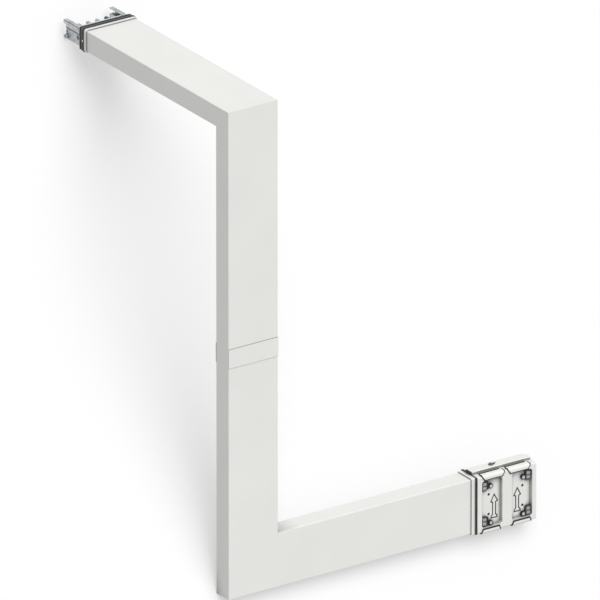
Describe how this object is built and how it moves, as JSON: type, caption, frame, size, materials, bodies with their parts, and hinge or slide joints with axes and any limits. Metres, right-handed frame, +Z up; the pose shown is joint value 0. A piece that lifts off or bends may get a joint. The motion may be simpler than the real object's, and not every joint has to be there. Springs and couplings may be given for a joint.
{
  "type": "busway elbow",
  "caption": "Double busway elbow: boxed legs turn flatwise then edgewise, with guide rails and bar tips at one end and a joint unit with captive screws at the other.",
  "frame": {"origin": "middle of the lying elbow's box, on the floor", "axes": "+Z up, +Y along the lean of the vertical leg towards the bar end, +X along the lower leg towards the joint unit"},
  "size_m": [0.9166, 1.493, 0.6665],
  "materials": {
    "casing_paint": "satin",
    "gasket_rubber": "matte",
    "rail_steel": "galvanised",
    "screw_steel": "zinc plated",
    "bar_tin": "tinned",
    "stud_steel": "blackened",
    "insulator": "moulded",
    "carrier_moulding": "moulded"
  },
  "bodies": {
    "root": {"upper_casing": "casing_paint", "lower_casing": "casing_paint", "front_splice_plate": "casing_paint", "back_splice_plate": "casing_paint", "conductor_1": "bar_tin", "conductor_2": "bar_tin", "conductor_3": "bar_tin", "conductor_4": "bar_tin", "bar_end_collar": "casing_paint", "bar_end_gasket": "gasket_rubber", "bar_carrier": "carrier_moulding", "left_guide_rail": "rail_steel", "right_guide_rail": "rail_steel", "earth_contact": "rail_steel", "joint_collar": "casing_paint", "joint_gasket": "gasket_rubber", "joint_front_cover": "casing_paint", "joint_back_cover": "casing_paint", "cover_clip_1": "casing_paint", "captive_screw_1": "screw_steel", "screw_keeper_1": "insulator", "cover_clip_2": "casing_paint", "captive_screw_2": "screw_steel", "screw_keeper_2": "insulator", "cover_clip_3": "casing_paint", "captive_screw_3": "screw_steel", "screw_keeper_3": "insulator", "cover_clip_4": "casing_paint", "captive_screw_4": "screw_steel", "screw_keeper_4": "insulator", "contact_block": "insulator", "contact_leaf_1_low": "bar_tin", "contact_leaf_1_high": "bar_tin", "contact_leaf_2_low": "bar_tin", "contact_leaf_2_high": "bar_tin", "contact_leaf_3_low": "bar_tin", "contact_leaf_3_high": "bar_tin", "contact_leaf_4_low": "bar_tin", "contact_leaf_4_high": "bar_tin", "ridge_stud": "stud_steel"}
  },
  "joints": []
}
